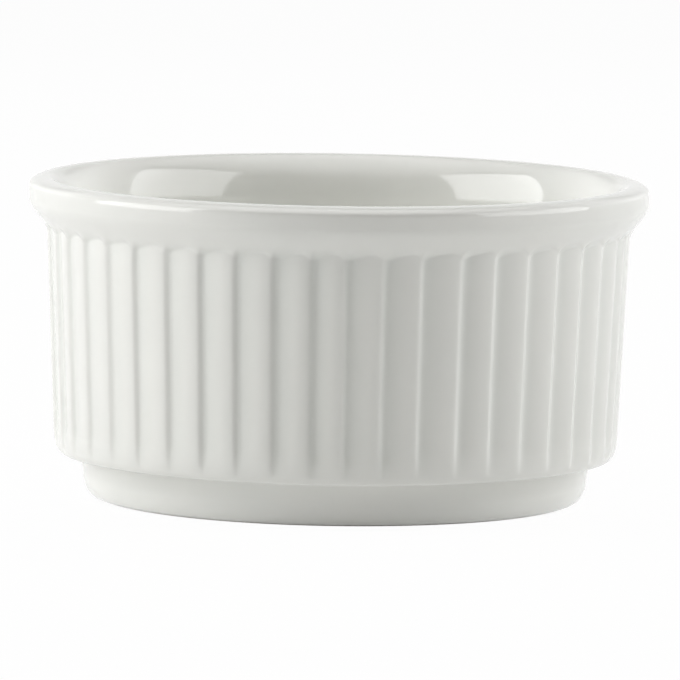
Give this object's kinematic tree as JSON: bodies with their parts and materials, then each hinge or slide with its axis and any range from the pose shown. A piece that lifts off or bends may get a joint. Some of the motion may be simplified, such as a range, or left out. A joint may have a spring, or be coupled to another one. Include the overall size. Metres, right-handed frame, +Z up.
{
  "type": "ramekin",
  "caption": "White glazed porcelain ramekin: a small round straight-sided baking dish with a rounded rim, a knife-pleated outer wall and a plain set-in foot.",
  "frame": {"origin": "middle of the standing ring, on the surface that the ramekin stands on", "axes": "+Z up along the turning axis, -Y towards the side that the picture shows, +X to its right"},
  "size_m": [0.09, 0.09, 0.0464],
  "materials": {
    "biscuit": "matt fired porcelain",
    "glaze": "clear gloss over white"
  },
  "bodies": {
    "root": {"porcelain_body": "biscuit", "glaze_coat": "glaze", "underside_glaze": "glaze"}
  },
  "joints": []
}
